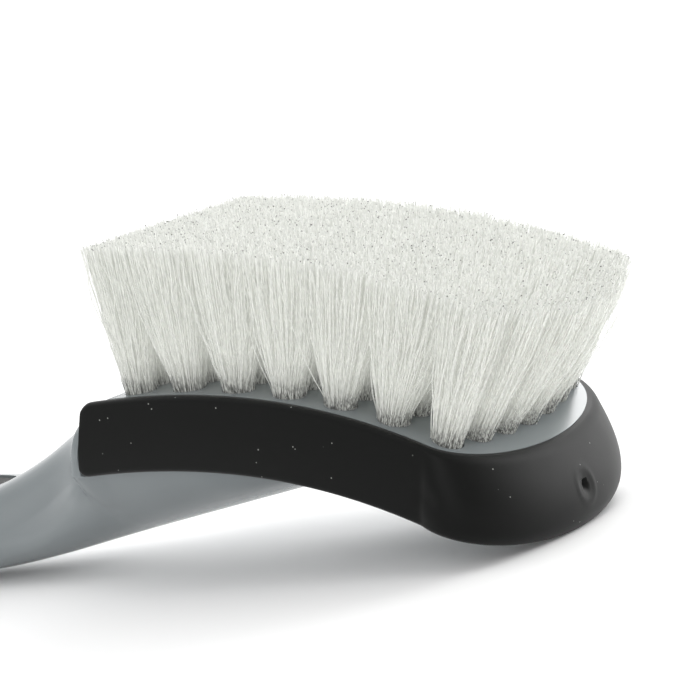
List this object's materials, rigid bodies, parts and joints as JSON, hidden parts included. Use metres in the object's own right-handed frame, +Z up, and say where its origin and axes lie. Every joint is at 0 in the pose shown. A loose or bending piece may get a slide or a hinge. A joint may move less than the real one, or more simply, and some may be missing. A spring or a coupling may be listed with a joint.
{
  "type": "wheel brush",
  "caption": "Short-handled wheel brush: arched rectangular head with a round nose, rubber bumper band, nylon bristle tufts, and an offset handle with a rubber pad and a hang hole.",
  "frame": {"origin": "on the ground plane, under the middle of the whole brush as it lies on its back", "axes": "+Z up, the way the bristles point; +X along the brush toward the nose of the head; Y is the width, and the brush is symmetric about Y = 0"},
  "size_m": [0.2648, 0.0684, 0.0745],
  "materials": {
    "body_plastic": "satin-gloss moulded polypropylene, mid grey",
    "bumper_rubber": "satin black thermoplastic rubber",
    "grip_rubber": "matt black thermoplastic rubber with cross ribs",
    "bristle_nylon": "translucent white nylon filament"
  },
  "bodies": {
    "root": {"body": "body_plastic", "bumper": "bumper_rubber", "grip_pad": "grip_rubber", "tuft_1_1": "bristle_nylon", "tuft_1_2": "bristle_nylon", "tuft_1_3": "bristle_nylon", "tuft_1_4": "bristle_nylon", "tuft_1_5": "bristle_nylon", "tuft_1_6": "bristle_nylon", "tuft_1_7": "bristle_nylon", "tuft_2_1": "bristle_nylon", "tuft_2_2": "bristle_nylon", "tuft_2_3": "bristle_nylon", "tuft_2_4": "bristle_nylon", "tuft_2_5": "bristle_nylon", "tuft_2_6": "bristle_nylon", "tuft_2_7": "bristle_nylon", "tuft_3_1": "bristle_nylon", "tuft_3_2": "bristle_nylon", "tuft_3_3": "bristle_nylon", "tuft_3_4": "bristle_nylon", "tuft_3_5": "bristle_nylon", "tuft_3_6": "bristle_nylon", "tuft_3_7": "bristle_nylon", "tuft_4_1": "bristle_nylon", "tuft_4_2": "bristle_nylon", "tuft_4_3": "bristle_nylon", "tuft_4_4": "bristle_nylon", "tuft_4_5": "bristle_nylon", "tuft_4_6": "bristle_nylon", "tuft_4_7": "bristle_nylon", "tuft_5_1": "bristle_nylon", "tuft_5_2": "bristle_nylon", "tuft_5_3": "bristle_nylon", "tuft_5_4": "bristle_nylon", "tuft_5_5": "bristle_nylon", "tuft_5_6": "bristle_nylon", "tuft_5_7": "bristle_nylon", "tuft_6_1": "bristle_nylon", "tuft_6_2": "bristle_nylon", "tuft_6_3": "bristle_nylon", "tuft_6_4": "bristle_nylon", "tuft_6_5": "bristle_nylon", "tuft_6_6": "bristle_nylon", "tuft_6_7": "bristle_nylon", "tuft_7_1": "bristle_nylon", "tuft_7_2": "bristle_nylon", "tuft_7_3": "bristle_nylon", "tuft_7_4": "bristle_nylon", "tuft_7_5": "bristle_nylon", "tuft_7_6": "bristle_nylon", "tuft_7_7": "bristle_nylon"}
  },
  "joints": []
}
